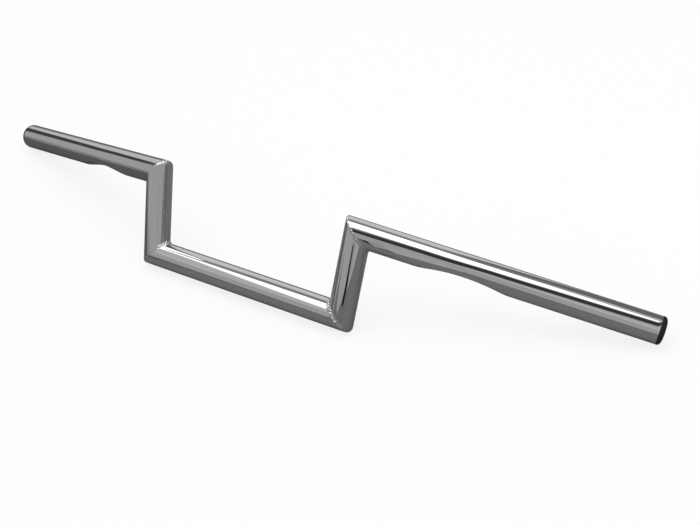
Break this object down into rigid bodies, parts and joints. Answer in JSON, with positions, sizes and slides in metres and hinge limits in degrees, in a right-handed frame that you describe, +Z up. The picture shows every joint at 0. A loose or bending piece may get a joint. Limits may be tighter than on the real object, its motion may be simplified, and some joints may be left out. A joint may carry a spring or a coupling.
{
  "type": "z-bar handlebar",
  "caption": "Chromed steel tube handlebar: a straight clamp section, upright risers and long swept-back arms, mitred and welded at sharp corners, with plugged ends.",
  "frame": {"origin": "middle of the centre tube's axis, where the clamps hold the bar", "axes": "+X across the bike to the right-hand grip seen from the front of the picture, +Y back to the rider, +Z up. The bar lies as it rests on a flat surface, on its centre tube and its plugs' rims, so the risers lean back about 28 degrees, as along a raked fork"},
  "size_m": [0.7608, 0.1265, 0.0999],
  "materials": {
    "chrome_plating": "bright chrome plating over polished steel tube",
    "black_plastic": "black moulded polyethylene, faintly satin"
  },
  "bodies": {
    "root": {"centre_tube": "chrome_plating", "left_riser_tube": "chrome_plating", "right_riser_tube": "chrome_plating", "left_arm_tube": "chrome_plating", "right_arm_tube": "chrome_plating", "lower_left_weld": "chrome_plating", "lower_right_weld": "chrome_plating", "upper_left_weld": "chrome_plating", "upper_right_weld": "chrome_plating", "left_end_plug": "black_plastic", "right_end_plug": "black_plastic"}
  },
  "joints": []
}
